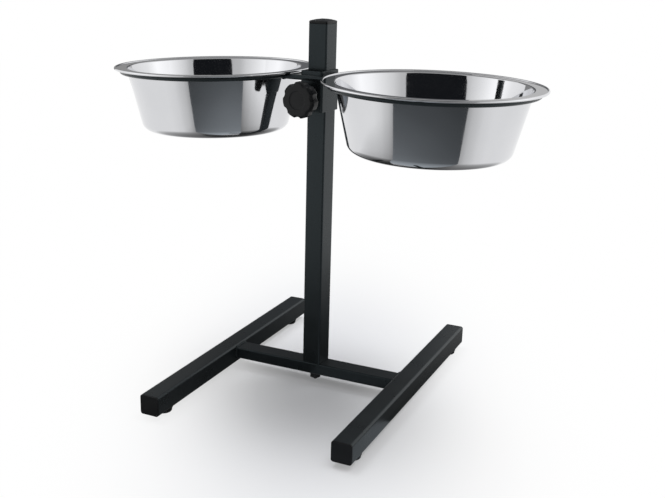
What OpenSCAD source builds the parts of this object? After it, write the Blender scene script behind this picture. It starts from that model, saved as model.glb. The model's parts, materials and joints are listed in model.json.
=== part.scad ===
// Raised feeder for dogs: an H-shaped tube base, a square post that stands on one stud,
// and a wire holder with two bowls that slides on the post and is clamped by a star knob.
// Millimetres, +Z up. The origin is on the floor under the post's axis, the two floor rails run
// along Y, and the front, where the knob is, faces -Y.

/* [Base] */
// Length of each floor rail's tube, without its end caps
rail_length = 396; // [300:1:500]
// Distance between the axes of the two floor rails
rail_spacing = 248; // [200:1:320]
// Outside width and height of the square rail tube
rail_size = 25; // [22:0.5:32]
// Wall of the rail tube
rail_wall = 1.5; // [1:0.1:2.5]
// Outside corner radius of the rail tube
rail_corner = 3.2; // [1:0.1:4]
// Depth of the flat cross bar between the rails, along Y
cross_depth = 25; // [22:0.5:30]
// Height of the cross bar
cross_height = 15; // [12:0.5:20]
// Wall of the cross bar
cross_wall = 1.5; // [1:0.1:2.5]
// Outside corner radius of the cross bar
cross_corner = 2; // [1:0.1:3]
// Height of the cross bar's axis above the rails' axes
cross_raise = 2; // [0:0.5:5]
// Thickness of the visible edge of a rail's end cap
cap_edge = 2; // [1:0.1:4]
// Length of the end cap's plug inside the tube
cap_plug = 12; // [6:0.5:15]
// Wall of the end cap's hollow plug
cap_wall = 2; // [1:0.1:3]

/* [Feet] */
// Height of a foot below the rail
foot_height = 6; // [4:0.5:12]
// Diameter of a foot where it meets the rail
foot_diameter = 23; // [14:0.5:24]
// How much smaller the foot's diameter is at the floor
foot_taper = 2; // [0:0.5:5]
// Distance of a foot's axis from the end of the rail's tube
foot_inset = 28; // [22:0.5:60]
// Diameter of the foot's stem
stem_diameter = 8; // [5:0.5:10]
// Length of the foot's stem inside the tube
stem_length = 7; // [3:0.5:12]

/* [Post] */
// Height of the post's tube end above the floor
post_top = 454; // [430:1:560]
// Outside width of the square post
post_size = 25; // [22:0.5:30]
// Wall of the post
post_wall = 1.5; // [1:0.1:2.5]
// Outside corner radius of the post
post_corner = 2; // [1:0.1:3]
// Turn of the post on its stud, from square with the base
post_turn = -6; // [-20:1:20]
// Height of the straight edge of the post's cap
post_cap_edge = 3; // [1:0.5:6]
// Rise of the post cap's domed top above the corners of its edge
post_cap_dome = 2.5; // [0.5:0.1:4]
// Length of the post cap's plug inside the post
post_cap_plug = 12; // [6:0.5:20]

/* [Stud] */
// Diameter of the stud that holds the post on the cross bar
stud_diameter = 8; // [6:1:10]
// Length of the stud's plain end below its nut
stud_end = 3; // [1:0.5:4]
// Diameter of the stud's plain end
stud_tip = 5; // [3:0.5:5.5]
// Thickness of the steel plug welded into the post's foot
foot_plug = 12; // [8:0.5:20]
// Gap between the steel plug and the cross bar
foot_plug_recess = 0.5; // [0.2:0.1:2]
// Width across the flats of the stud's nut
nut_width = 13; // [12:0.5:15]
// Height of the stud's nut
nut_height = 6.5; // [4:0.5:7]
// Outside diameter of the washer
washer_diameter = 17; // [15:0.5:22]
// Thickness of the washer
washer_height = 1.6; // [1:0.1:2]

/* [Sleeve] */
// Height of the sleeve's upper edge above the floor
sleeve_top = 401; // [370:1:440]
// Height of the sleeve
sleeve_height = 48; // [44:0.5:70]
// Wall of the sleeve
sleeve_wall = 2; // [1.5:0.1:3]
// Outside corner radius of the sleeve
sleeve_corner = 3; // [2:0.1:4]
// Gap between the post and the sleeve's sides and back
sleeve_clearance = 0.4; // [0.2:0.05:1]
// Space between the post's front and the sleeve's front wall, for the nut and the pad
sleeve_front_space = 10.5; // [10:0.5:16]

/* [Clamp] */
// Height of the clamp screw's axis above the sleeve's lower edge
screw_height = 17; // [13:0.5:22]
// Diameter of the clamp screw
screw_diameter = 8; // [6:0.5:10]
// Width across the flats of the nut welded inside the sleeve
clamp_nut_width = 13; // [12:0.5:16]
// Thickness of the nut welded inside the sleeve
clamp_nut_height = 5; // [3:0.5:6]
// Diameter of the pad that presses on the post
pad_diameter = 14; // [12:0.5:20]
// Thickness of the pad
pad_height = 2.6; // [2:0.1:4]
// Diameter of the screw's tip, which sits in the pad
tip_diameter = 5; // [3:0.5:5.5]
// Depth of the pad's socket for the screw's tip
tip_depth = 1.4; // [0.8:0.1:1.6]

/* [Knob] */
// Diameter over the lobes of the star knob
knob_diameter = 42.5; // [36:0.5:50]
// Thickness of the knob's lobed head
knob_head = 15; // [10:0.5:20]
// Rounding of the head's edges
knob_round = 4; // [1:0.1:4.8]
// Number of lobes
knob_lobes = 7; // [5:1:10]
// Diameter of the round cuts between the lobes
knob_cut = 13; // [8:0.5:16]
// Depth of the cuts between the lobes
knob_cut_depth = 2.2; // [1:0.1:4]
// Turn at which the knob stands when the clamp is tight, in degrees
knob_angle = -15; // [-30:1:30]
// Diameter of the knob's hub behind the head
hub_diameter = 20; // [18:0.5:26]
// Length of the hub behind the head
hub_length = 12; // [6:0.5:16]
// Gap between the hub and the sleeve when the clamp is tight
hub_gap = 3.5; // [1.5:0.1:5]
// Length of the clamp screw inside the knob's head
screw_grip = 8; // [4:0.5:9]

/* [Holder] */
// Diameter of the wire of the rings and bars
wire_diameter = 6; // [5:0.5:8]
// Depth of the bars' axes below the sleeve's upper edge
bar_drop = 8; // [5:0.5:10]
// Distance of each ring's centre from the post's axis
ring_reach = 150; // [145:0.5:180]
// How far the rings' centres lie in front of the post's axis
ring_forward = 12; // [-5:0.5:20]
// Outward sag of each ring, in degrees
ring_sag = 1.1; // [0:0.1:3]
// Gap all round between the bowls' mouth and the inside of the rings
ring_play = 2; // [0:0.1:4]

/* [Bowls] */
// Inside diameter of the bowl where its flat rim begins
mouth_diameter = 221; // [200:1:235]
// Width of the flat rim
rim_width = 13; // [9:0.5:16]
// Diameter of the rolled edge of the rim
bead_diameter = 3; // [2:0.1:4]
// Depth of the bowl below the top of its flat rim, outside
bowl_depth = 78; // [50:1:100]
// Thickness of the bowl's sheet
bowl_sheet = 0.8; // [0.6:0.1:1.5]
// Slope of the bowl's wall from upright, in degrees
wall_slope = 13.5; // [5:0.5:18]
// Inside radius of the bend between the wall and the rim
mouth_bend = 2; // [1.5:0.1:6]
// Outside radius of the bend between the wall and the base
base_bend = 12; // [6:0.5:22]

/* [Hidden] */
$fn = 96;
PAINTED_STEEL = [0.17, 0.19, 0.20];
BLACK_PLASTIC = [0.09, 0.09, 0.10];
ZINC = [0.62, 0.63, 0.64];
BLACK_STEEL = [0.20, 0.20, 0.21];
STAINLESS = [0.80, 0.81, 0.82];
BRASS = [0.72, 0.58, 0.30];

// Clearances: of a plug in a tube, of a thread, round a turning stud, of a resting piece, at a weld,
// and of the stud's end above the floor
plug_clearance = 0.15;
thread_clearance = 0.08;
stud_clearance = 0.3;
seat_clearance = 0.3;
weld_clearance = 0.03;
floor_clearance = 0.5;
// Smallest inside corner of a tube, chamfer of a screw's end, and how far a cut runs past a face
least_corner = 0.3;
chamfer = 1;
cut_past = 1;

// Heights and places of the base
rail_axis = foot_height + rail_size/2;
rail_inside = rail_size - 2*rail_wall;
rail_inside_corner = max(rail_corner - rail_wall, least_corner);
foot_y = rail_length/2 - foot_inset;
cross_axis = rail_axis + cross_raise;
cross_top = cross_axis + cross_height/2;
cross_bottom = cross_axis - cross_height/2;
cross_length = rail_spacing - rail_size;

// Post, stud and nut
post_inside = post_size - 2*post_wall;
post_inside_corner = max(post_corner - post_wall, least_corner);
post_corner_reach = (post_size/2 - post_corner)*sqrt(2) + post_corner;
dome_radius = (pow(post_corner_reach, 2) + pow(post_cap_dome, 2))/(2*post_cap_dome);
plug_bottom = cross_top + foot_plug_recess;
washer_bottom = cross_bottom - washer_height;
nut_bottom = washer_bottom - nut_height;
stud_bottom = max(nut_bottom - stud_end, floor_clearance);
stud_length = plug_bottom + foot_plug - nut_bottom;

// Sleeve: its inside is wider than the post, and deeper at the front
sleeve_bottom = sleeve_top - sleeve_height;
sleeve_inside_x = post_size + 2*sleeve_clearance;
sleeve_inside_y = post_size + sleeve_clearance + sleeve_front_space;
sleeve_y = (sleeve_clearance - sleeve_front_space)/2;
sleeve_front = post_size/2 + sleeve_front_space + sleeve_wall;
sleeve_back = post_size/2 + sleeve_clearance + sleeve_wall;

// Clamp: distances in front of the post's axis
screw_z = sleeve_bottom + screw_height;
pad_face = post_size/2 + seat_clearance;
pad_end = pad_face + pad_height;
clamp_nut_face = sleeve_front - sleeve_wall - clamp_nut_height;
hub_face = sleeve_front + hub_gap;
head_face = hub_face + hub_length;
screw_shoulder = pad_end + thread_clearance;
screw_length = head_face + screw_grip - screw_shoulder;
knob_radius = knob_diameter/2;

// Holder: the rings are a little wider than the bowls' mouth, so that the flat rim lies on the wire
wire_radius = wire_diameter/2;
mouth_radius = mouth_diameter/2;
ring_radius = mouth_radius + ring_play + wire_radius;
ring_inner = ring_reach - ring_radius;
bar_z = sleeve_top - bar_drop;
// The rings lie higher than the bars by what the bowls' rolled edge hangs below the flat rim
ring_rise = max(0, (bead_diameter - bowl_sheet)/2);
ring_z = bar_z + ring_rise;
front_bar_y = -sleeve_front - wire_radius;
back_bar_y = sleeve_back + wire_radius;

// Bowl: its wall hangs from a bend round wall_pivot and runs into a bend round base_pivot;
// heights are from the ring's plane
rim_top = wire_radius + seat_clearance + bowl_sheet;
bowl_bottom = rim_top - bowl_depth;
wall_inward = [-cos(wall_slope), sin(wall_slope)];
wall_downward = [-sin(wall_slope), -cos(wall_slope)];
bend_reach = mouth_bend - bowl_sheet + base_bend;
wall_length = (bowl_depth - mouth_bend - base_bend + bend_reach*sin(wall_slope))/cos(wall_slope);
wall_pivot = [mouth_radius, rim_top - mouth_bend];
base_pivot = wall_pivot + bend_reach*wall_inward + wall_length*wall_downward;
bead_pivot = [mouth_radius + rim_width, rim_top - bowl_sheet/2];
bead_neck = asin(bowl_sheet/bead_diameter);
arc_step = 7.5;

LEFT = -1;
RIGHT = 1;
FRONT = -1;
BACK = 1;

// Points of an arc round a pivot, between two angles
function arc(pivot, radius, from, to) =
    let (steps = ceil(abs(to - from)/arc_step))
    [for (i = [0:steps]) let (angle = from + (to - from)*i/steps)
        pivot + radius*[cos(angle), sin(angle)]];

// Shared shapes

module rounded_rect(width, depth, corner) {
    square([width - 2*corner, depth], center = true);
    square([width, depth - 2*corner], center = true);
    for (x = [-1, 1], y = [-1, 1])
        translate([x*(width/2 - corner), y*(depth/2 - corner)])
            circle(r = corner);
}

// Square or flat tube along Z, from the XY plane up
module tube(width, depth, length, wall, corner) {
    linear_extrude(length)
        difference() {
            rounded_rect(width, depth, corner);
            rounded_rect(width - 2*wall, depth - 2*wall, max(corner - wall, least_corner));
        }
}

// Plug that pushes into a tube's end, hollow, from the XY plane down
module tube_plug(inside, corner, length, wall) {
    width = inside - 2*plug_clearance;
    translate([0, 0, -length])
        tube(width, width, length, wall, corner);
}

// Threaded rod along Z with chamfered ends
module rod(diameter, length) {
    cylinder(d1 = diameter - 2*chamfer, d2 = diameter, h = chamfer);
    translate([0, 0, chamfer])
        cylinder(d = diameter, h = length - 2*chamfer);
    translate([0, 0, length - chamfer])
        cylinder(d1 = diameter, d2 = diameter - 2*chamfer, h = chamfer);
}

// Hexagon nut on the XY plane
module hex_nut(width, height, hole) {
    difference() {
        cylinder(d = width/cos(30), h = height, $fn = 6);
        translate([0, 0, -cut_past])
            cylinder(d = hole, h = height + 2*cut_past);
    }
}

// Places

module on_rail(side) {
    translate([side*rail_spacing/2, 0, rail_axis])
        children();
}

module at_rail_end(side, end) {
    on_rail(side)
        translate([0, end*rail_length/2, 0])
            rotate([-end*90, 0, 0])
                children();
}

module at_foot(side, end) {
    translate([side*rail_spacing/2, end*foot_y, 0])
        children();
}

// What turns with the post on its stud
module on_post() {
    rotate([0, 0, post_turn])
        children();
}

// What lies along the clamp screw, with Z pointing out of the knob
module on_screw(distance) {
    on_post()
        translate([0, -distance, screw_z])
            rotate([90, 0, 0])
                children();
}

// What lies in a ring's plane, with the ring's centre as the origin
module on_ring(side) {
    on_post()
        translate([side*ring_inner, -ring_forward, ring_z])
            rotate([0, side*ring_sag, 0])
                translate([side*ring_radius, 0, 0])
                    children();
}

// Base

module rail(side) {
    color(PAINTED_STEEL)
        difference() {
            on_rail(side)
                rotate([90, 0, 0])
                    translate([0, 0, -rail_length/2])
                        tube(rail_size, rail_size, rail_length, rail_wall, rail_corner);
            for (end = [FRONT, BACK])
                at_foot(side, end)
                    translate([0, 0, foot_height - cut_past])
                        cylinder(d = stem_diameter + 2*plug_clearance,
                            h = rail_wall + 2*cut_past);
        }
}

module cross_bar() {
    color(PAINTED_STEEL)
        difference() {
            translate([-cross_length/2, 0, cross_axis])
                rotate([90, 0, 90])
                    tube(cross_depth, cross_height, cross_length, cross_wall, cross_corner);
            translate([0, 0, cross_bottom - cut_past])
                cylinder(d = stud_diameter + 2*stud_clearance, h = cross_height + 2*cut_past);
        }
}

module rail_cap(side, end) {
    color(BLACK_PLASTIC)
        at_rail_end(side, end) {
            linear_extrude(cap_edge)
                rounded_rect(rail_size, rail_size, rail_corner);
            tube_plug(rail_inside, rail_inside_corner, cap_plug, cap_wall);
        }
}

module foot(side, end) {
    color(BLACK_PLASTIC)
        at_foot(side, end) {
            cylinder(d1 = foot_diameter - foot_taper, d2 = foot_diameter, h = foot_height);
            translate([0, 0, foot_height])
                cylinder(d = stem_diameter, h = rail_wall + stem_length);
        }
}

module stud_washer() {
    color(BLACK_STEEL)
        translate([0, 0, washer_bottom])
            difference() {
                cylinder(d = washer_diameter, h = washer_height);
                translate([0, 0, -cut_past])
                    cylinder(d = stud_diameter + 2*stud_clearance, h = washer_height + 2*cut_past);
            }
}

// Post

module post() {
    color(PAINTED_STEEL)
        on_post()
            translate([0, 0, cross_top])
                tube(post_size, post_size, post_top - cross_top, post_wall, post_corner);
}

module post_cap() {
    color(BLACK_PLASTIC)
        on_post()
            translate([0, 0, post_top]) {
                intersection() {
                    linear_extrude(post_cap_edge + post_cap_dome)
                        rounded_rect(post_size, post_size, post_corner);
                    translate([0, 0, post_cap_edge + post_cap_dome - dome_radius])
                        sphere(r = dome_radius);
                }
                tube_plug(post_inside, post_inside_corner, post_cap_plug, cap_wall);
            }
}

module post_foot_plug() {
    width = post_inside - 2*plug_clearance;
    color(ZINC)
        on_post()
            translate([0, 0, plug_bottom])
                difference() {
                    linear_extrude(foot_plug)
                        rounded_rect(width, width, post_inside_corner);
                    translate([0, 0, -cut_past])
                        cylinder(d = stud_diameter + 2*thread_clearance, h = foot_plug + 2*cut_past);
                }
}

module post_stud() {
    color(BLACK_STEEL)
        on_post()
            union() {
                translate([0, 0, nut_bottom])
                    rod(stud_diameter, stud_length);
                translate([0, 0, stud_bottom])
                    cylinder(d = stud_tip, h = nut_bottom + nut_height - stud_bottom);
            }
}

module stud_nut() {
    color(BLACK_STEEL)
        on_post()
            translate([0, 0, nut_bottom])
                hex_nut(nut_width, nut_height, stud_diameter + 2*thread_clearance);
}

// Sliding holder

module sleeve() {
    color(PAINTED_STEEL)
        difference() {
            on_post()
                translate([0, sleeve_y, sleeve_bottom])
                    tube(sleeve_inside_x + 2*sleeve_wall, sleeve_inside_y + 2*sleeve_wall,
                        sleeve_height, sleeve_wall, sleeve_corner);
            on_screw(sleeve_front - sleeve_wall - cut_past)
                cylinder(d = screw_diameter + 2*stud_clearance, h = sleeve_wall + 2*cut_past);
        }
}

module clamp_nut() {
    color(ZINC)
        on_screw(clamp_nut_face)
            hex_nut(clamp_nut_width, clamp_nut_height, screw_diameter + 2*thread_clearance);
}

module ring_wire(side, wire) {
    on_ring(side)
        rotate_extrude()
            translate([ring_radius, 0])
                circle(d = wire);
}

module ring(side) {
    color(PAINTED_STEEL)
        ring_wire(side, wire_diameter);
}

// Bar across the sleeve, with its ends cut to the rings that they are welded to
module bar(y) {
    half_length = ring_reach - sqrt(pow(ring_radius, 2) - pow(y + ring_forward, 2)) - wire_radius/2;
    color(PAINTED_STEEL)
        difference() {
            on_post()
                translate([-half_length, y, bar_z])
                    rotate([0, 90, 0])
                        cylinder(d = wire_diameter, h = 2*half_length);
            for (side = [LEFT, RIGHT])
                ring_wire(side, wire_diameter + 2*weld_clearance);
        }
}

// Clamp

module clamp_pad() {
    color(BRASS)
        on_screw(pad_face)
            difference() {
                cylinder(d = pad_diameter, h = pad_height);
                translate([0, 0, pad_height - tip_depth])
                    cylinder(d = tip_diameter + 2*thread_clearance, h = tip_depth + cut_past);
            }
}

module clamp_screw() {
    tip = tip_depth - thread_clearance;
    color(ZINC)
        on_screw(screw_shoulder) {
            rod(screw_diameter, screw_length);
            translate([0, 0, -tip])
                cylinder(d = tip_diameter, h = tip + chamfer);
        }
}

module star_knob() {
    color(BLACK_PLASTIC)
        on_screw(hub_face)
            difference() {
                rotate_extrude()
                    knob_profile();
                for (lobe = [0:knob_lobes - 1])
                    rotate([0, 0, knob_angle + (lobe + 0.5)*360/knob_lobes])
                        translate([knob_radius + knob_cut/2 - knob_cut_depth, 0, hub_length - cut_past])
                            cylinder(d = knob_cut, h = knob_head + 2*cut_past);
                translate([0, 0, -cut_past])
                    cylinder(d = screw_diameter + 2*weld_clearance,
                        h = hub_length + screw_grip + cut_past + weld_clearance);
            }
}

// Half section of the knob: hub below, rounded head above
module knob_profile() {
    square([hub_diameter/2, hub_length + knob_round]);
    translate([0, hub_length]) {
        square([knob_radius - knob_round, knob_head]);
        translate([0, knob_round])
            square([knob_radius, knob_head - 2*knob_round]);
        for (y = [knob_round, knob_head - knob_round])
            translate([knob_radius - knob_round, y])
                circle(r = knob_round);
    }
}

// Bowls

module bowl(side) {
    color(STAINLESS)
        on_ring(side)
            rotate_extrude()
                bowl_profile();
}

// Half section of the bowl's sheet: up its inside to the rolled edge of the rim, and down its outside
module bowl_profile() {
    polygon(concat(
        [[0, bowl_bottom + bowl_sheet]],
        arc(base_pivot, base_bend - bowl_sheet, -90, -wall_slope),
        arc(wall_pivot, mouth_bend, 180 - wall_slope, 90),
        arc(bead_pivot, bead_diameter/2, 180 - bead_neck, bead_neck - 180),
        arc(wall_pivot, mouth_bend - bowl_sheet, 90, 180 - wall_slope),
        arc(base_pivot, base_bend, -wall_slope, -90),
        [[0, bowl_bottom]]));
}

rail(LEFT);  // left_rail
rail(RIGHT);  // right_rail
cross_bar();
rail_cap(LEFT, FRONT);  // left_front_cap
rail_cap(LEFT, BACK);  // left_back_cap
rail_cap(RIGHT, FRONT);  // right_front_cap
rail_cap(RIGHT, BACK);  // right_back_cap
foot(LEFT, FRONT);  // left_front_foot
foot(LEFT, BACK);  // left_back_foot
foot(RIGHT, FRONT);  // right_front_foot
foot(RIGHT, BACK);  // right_back_foot
stud_washer();
post();
post_cap();
post_foot_plug();
post_stud();
stud_nut();
sleeve();
clamp_nut();
bar(front_bar_y);  // front_bar
bar(back_bar_y);  // back_bar
ring(LEFT);  // left_ring
ring(RIGHT);  // right_ring
clamp_pad();
clamp_screw();
star_knob();
bowl(LEFT);  // left_bowl
bowl(RIGHT);  // right_bowl
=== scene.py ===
"""Looks of the raised dog feeder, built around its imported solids. Metres, +Z up, and -Y is the front."""

import json
import math

import bmesh
import bpy
from mathutils import Matrix, Vector

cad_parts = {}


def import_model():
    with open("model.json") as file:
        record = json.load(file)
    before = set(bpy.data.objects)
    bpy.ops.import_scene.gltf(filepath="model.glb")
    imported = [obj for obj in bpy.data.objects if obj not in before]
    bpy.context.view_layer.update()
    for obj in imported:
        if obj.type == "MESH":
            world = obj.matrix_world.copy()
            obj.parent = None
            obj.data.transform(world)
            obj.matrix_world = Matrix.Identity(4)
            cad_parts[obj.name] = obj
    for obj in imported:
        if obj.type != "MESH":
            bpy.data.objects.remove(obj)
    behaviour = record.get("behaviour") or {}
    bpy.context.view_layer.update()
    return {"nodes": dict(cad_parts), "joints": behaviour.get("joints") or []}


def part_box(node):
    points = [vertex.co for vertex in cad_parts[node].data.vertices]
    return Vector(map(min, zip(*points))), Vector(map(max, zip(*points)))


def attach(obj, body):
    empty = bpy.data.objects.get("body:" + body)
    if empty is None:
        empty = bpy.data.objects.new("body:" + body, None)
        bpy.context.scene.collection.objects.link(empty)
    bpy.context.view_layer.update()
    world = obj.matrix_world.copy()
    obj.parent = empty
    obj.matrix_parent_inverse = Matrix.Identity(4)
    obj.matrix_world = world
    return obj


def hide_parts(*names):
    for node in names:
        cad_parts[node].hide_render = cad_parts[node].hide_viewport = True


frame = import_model()

MM = 0.001
LEFT, RIGHT = -1, 1
FRONT, BACK = -1, 1
SIDE_NAME = {LEFT: "left", RIGHT: "right"}
END_NAME = {FRONT: "front", BACK: "back"}

# Tubes
RAIL_CORNER = 3.2 * MM
CROSS_CORNER = 2.0 * MM
POST_SIZE = 25 * MM
POST_CORNER = 2.0 * MM
TUBE_WALL = 1.5 * MM
SLEEVE_WIDTH = 29.8 * MM
SLEEVE_DEPTH = 39.9 * MM
SLEEVE_CORNER = 3.0 * MM
SLEEVE_WALL = 2.0 * MM
SLEEVE_FRONT = 25 * MM
SLEEVE_EDGE = 0.6 * MM
CUT_EDGE = 0.35 * MM
INNER_CORNER = 0.3 * MM

# Caps and feet
CAP_EDGE = 2.0 * MM
CAP_ROUND = 0.8 * MM
CAP_GROOVE = 0.25 * MM
CAP_CORNER = 0.5 * MM
PLUG_INSET = TUBE_WALL + 0.15 * MM
PLUG_LENGTH = 12 * MM
POST_CAP_EDGE = 3.0 * MM
POST_CAP_DOME = 2.5 * MM
POST_CAP_GROOVE = 0.3 * MM
POST_CAP_LIP = 0.7 * MM
DOME_SHARES = (0.85, 0.65, 0.45, 0.25, 0.1)
FOOT_TOP = 11.5 * MM
FOOT_FLOOR = 10.5 * MM
FOOT_HEIGHT = 6.0 * MM
FOOT_ROUND = 2.0 * MM
FOOT_NECK = 1.4 * MM
FOOT_FLANGE = 0.6 * MM
FOOT_STEM = 4.0 * MM
STEM_CHAMFER = 1.0 * MM

# Stud, nut, washer and clamp screw
THREAD_RADIUS = 4.0 * MM
THREAD_PITCH = 1.25 * MM
THREAD_DEPTH = 0.65 * MM
THREAD_END = 1.0 * MM
THREAD_PLAY = 0.08 * MM
THREAD_STEPS = 10
GROOVE_POWER = 1.2
NUT_WIDTH = 13 * MM
NUT_FACE_SHARE = 0.48
NUT_CHAMFER = math.radians(30)
STUD_TIP = 2.5 * MM
STUD_TIP_EDGE = 0.6 * MM
WASHER_RADIUS = 8.5 * MM
WASHER_HOLE = 4.3 * MM
WASHER_EDGE = 0.3 * MM
SCREW_HOLE = 4.3 * MM
CLAMP_NUT_HEIGHT = 5.0 * MM
SCREW_SHOULDER = 15.48 * MM
SCREW_IN_HEAD = 8.0 * MM

# Knob
HUB_FACE = 28.5 * MM
HUB_RADIUS = 10 * MM
HUB_LENGTH = 12 * MM
HUB_EDGE = 0.6 * MM
HUB_FILLET = 1.0 * MM
HEAD_RADIUS = 21.25 * MM
HEAD_HEIGHT = 15 * MM
HEAD_ROUND = 4.0 * MM
LOBES = 7
LOBE_TURN = math.radians(-15)
CUT_RADIUS = 6.5 * MM
CUT_DEPTH = 2.2 * MM
CUT_BLEND = 0.315 * MM
DISH_RADIUS = 11 * MM
DISH_DEPTH = 0.5 * MM

# Wire holder and bowls
WIRE_RADIUS = 3.0 * MM
RING_RADIUS = 115.5 * MM
RING_FORWARD = 12 * MM
RING_REACH = 150 * MM
FRONT_BAR_Y = -28 * MM
BACK_BAR_Y = 17.9 * MM
BAR_END_ROUND = 1.0 * MM
MOUTH_RADIUS = 110.5 * MM
RIM_WIDTH = 13 * MM
BEAD_RADIUS = 1.5 * MM
BOWL_DEPTH = 78 * MM
SHEET = 0.8 * MM
RIM_TOP = 4.1 * MM
WALL_SLOPE = math.radians(13.5)
MOUTH_BEND = 2.0 * MM
BASE_BEND = 12 * MM

# Welds
WELD_STEP = 0.5 * MM
WELD_RIPPLE = 0.16
WELD_PITCH = 2.2 * MM
CROSS_WELD = 1.6 * MM
SLEEVE_WELD = 1.2 * MM
SLEEVE_WELD_OUT = 0.72 * WIRE_RADIUS
RING_WELD = 2.6 * MM
RING_WELD_DROP = 1.0 * MM

# Places that come from the frame
joints = {joint["name"]: joint for joint in frame["joints"]}
knob_axis = Vector(joints["knob_turn"]["axis"])
post_turn = math.atan2(knob_axis.x, -knob_axis.y)
screw_z = joints["knob_turn"]["pos_m"][2]
ON_POST = Matrix.Rotation(post_turn, 4, "Z")


def on_screw(distance):
    """Place on the clamp screw, with Z pointing out of the knob."""
    return ON_POST @ Matrix.Translation((0, -distance, screw_z)) @ Matrix.Rotation(math.pi / 2, 4, "X")


def on_ring(side):
    """Place at a ring's centre, with Z along the way its bowl lifts."""
    low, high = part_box(SIDE_NAME[side] + "_ring")
    lift = Vector(joints[SIDE_NAME[side] + "_bowl_lift"]["axis"])
    along = ON_POST @ Vector((1, 0, 0))
    across = lift.cross(along).normalized()
    along = across.cross(lift)
    turn = Matrix((along, across, lift)).transposed().to_4x4()
    return Matrix.Translation((low + high) / 2) @ turn


# Materials
CLOUD_LOW = 0.3
CLOUD_HIGH = 0.7


def new_material(name, metallic=0.0):
    """A node material with its shader."""
    material = bpy.data.materials.new(name)
    material.use_nodes = True
    shader = material.node_tree.nodes["Principled BSDF"]
    shader.inputs["Metallic"].default_value = metallic
    return material, material.node_tree, shader


def noise(tree, scale, detail=3.0):
    """Noise over the object's own coordinates, in features per metre."""
    place = tree.nodes.new("ShaderNodeTexCoord")
    texture = tree.nodes.new("ShaderNodeTexNoise")
    texture.inputs["Scale"].default_value = scale
    texture.inputs["Detail"].default_value = detail
    tree.links.new(place.outputs["Object"], texture.inputs["Vector"])
    return texture.outputs["Fac"]


def ramp(tree, value, stops):
    """Colour by a value, from pairs of value and colour."""
    node = tree.nodes.new("ShaderNodeValToRGB")
    elements = node.color_ramp.elements
    while len(elements) < len(stops):
        elements.new(1.0)
    for element, (position, colour) in zip(elements, stops):
        element.position = position
        element.color = (*colour, 1)
    tree.links.new(value, node.inputs["Fac"])
    return node.outputs["Color"]


def bump(tree, shader, height, depth, strength, below=None):
    """Fine relief from a texture, over the relief below it."""
    node = tree.nodes.new("ShaderNodeBump")
    node.inputs["Strength"].default_value = strength
    node.inputs["Distance"].default_value = depth
    tree.links.new(height, node.inputs["Height"])
    if below:
        tree.links.new(below, node.inputs["Normal"])
    tree.links.new(node.outputs["Normal"], shader.inputs["Normal"])
    return node.outputs["Normal"]


def grey(value):
    return (value, value, value)


def clouds(tree, shader, scale, dark, light, smooth, rough, dark_below=CLOUD_LOW):
    """Colour and roughness that vary together in soft clouds."""
    cloud = noise(tree, scale)
    colour = ramp(tree, cloud, [(dark_below, dark), (CLOUD_HIGH, light)])
    tree.links.new(colour, shader.inputs["Base Color"])
    roughness = ramp(tree, cloud, [(CLOUD_LOW, grey(smooth)), (CLOUD_HIGH, grey(rough))])
    tree.links.new(roughness, shader.inputs["Roughness"])


def powder_coat():
    """Satin black paint with the fine orange peel of a baked powder."""
    material, tree, shader = new_material("powder_coat")
    dark = (0.0098, 0.0119, 0.0131)
    light = (0.0122, 0.0147, 0.0161)
    clouds(tree, shader, 35, dark, light, smooth=0.26, rough=0.33)
    shader.inputs["Specular IOR Level"].default_value = 0.3
    shader.inputs["Specular Tint"].default_value = (0.76, 0.93, 1.0, 1)
    peel = bump(tree, shader, noise(tree, 900, 2), depth=0.08 * MM, strength=0.5)
    bump(tree, shader, noise(tree, 3200, 1), depth=0.03 * MM, strength=0.35, below=peel)
    return material


def moulded_plastic():
    """Black plastic with a fine moulded grain."""
    material, tree, shader = new_material("moulded_plastic")
    dark = (0.0040, 0.0045, 0.0054)
    light = (0.0060, 0.0067, 0.0078)
    clouds(tree, shader, 60, dark, light, smooth=0.34, rough=0.46)
    shader.inputs["Specular IOR Level"].default_value = 0.22
    bump(tree, shader, noise(tree, 2200, 2), depth=0.04 * MM, strength=0.5)
    return material


def polished_steel():
    """Mirror-polished stainless sheet: nearly clear reflections, with the long waves of pressed sheet."""
    material, tree, shader = new_material("polished_steel", metallic=1.0)
    dark = (0.640, 0.646, 0.664)
    light = (0.672, 0.677, 0.694)
    colour = ramp(tree, noise(tree, 18), [(CLOUD_LOW, dark), (CLOUD_HIGH, light)])
    tree.links.new(colour, shader.inputs["Base Color"])
    haze = ramp(tree, noise(tree, 45, 4), [(0.35, grey(0.045)), (0.75, grey(0.085))])
    tree.links.new(haze, shader.inputs["Roughness"])
    bump(tree, shader, noise(tree, 14, 1), depth=1.2 * MM, strength=0.35)
    return material


def black_steel():
    """Blackened steel of the stud, nut and washer under the base."""
    material, tree, shader = new_material("black_steel", metallic=1.0)
    dark = (0.030, 0.031, 0.033)
    light = (0.055, 0.055, 0.056)
    clouds(tree, shader, 300, dark, light, smooth=0.38, rough=0.55, dark_below=0.35)
    bump(tree, shader, noise(tree, 2500, 2), depth=0.03 * MM, strength=0.5)
    return material


def zinc_steel():
    """Zinc-plated steel of the clamp's screw and nut and of the plug in the post's foot."""
    material, tree, shader = new_material("zinc_steel", metallic=1.0)
    clouds(tree, shader, 220, (0.50, 0.51, 0.53), (0.60, 0.61, 0.61), smooth=0.28, rough=0.42)
    bump(tree, shader, noise(tree, 2500, 2), depth=0.03 * MM, strength=0.4)
    return material


def turned_brass():
    """Plain brass of the clamp's pad."""
    material, tree, shader = new_material("turned_brass", metallic=1.0)
    clouds(tree, shader, 400, (0.52, 0.37, 0.14), (0.62, 0.46, 0.20), smooth=0.25, rough=0.40)
    return material


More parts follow.
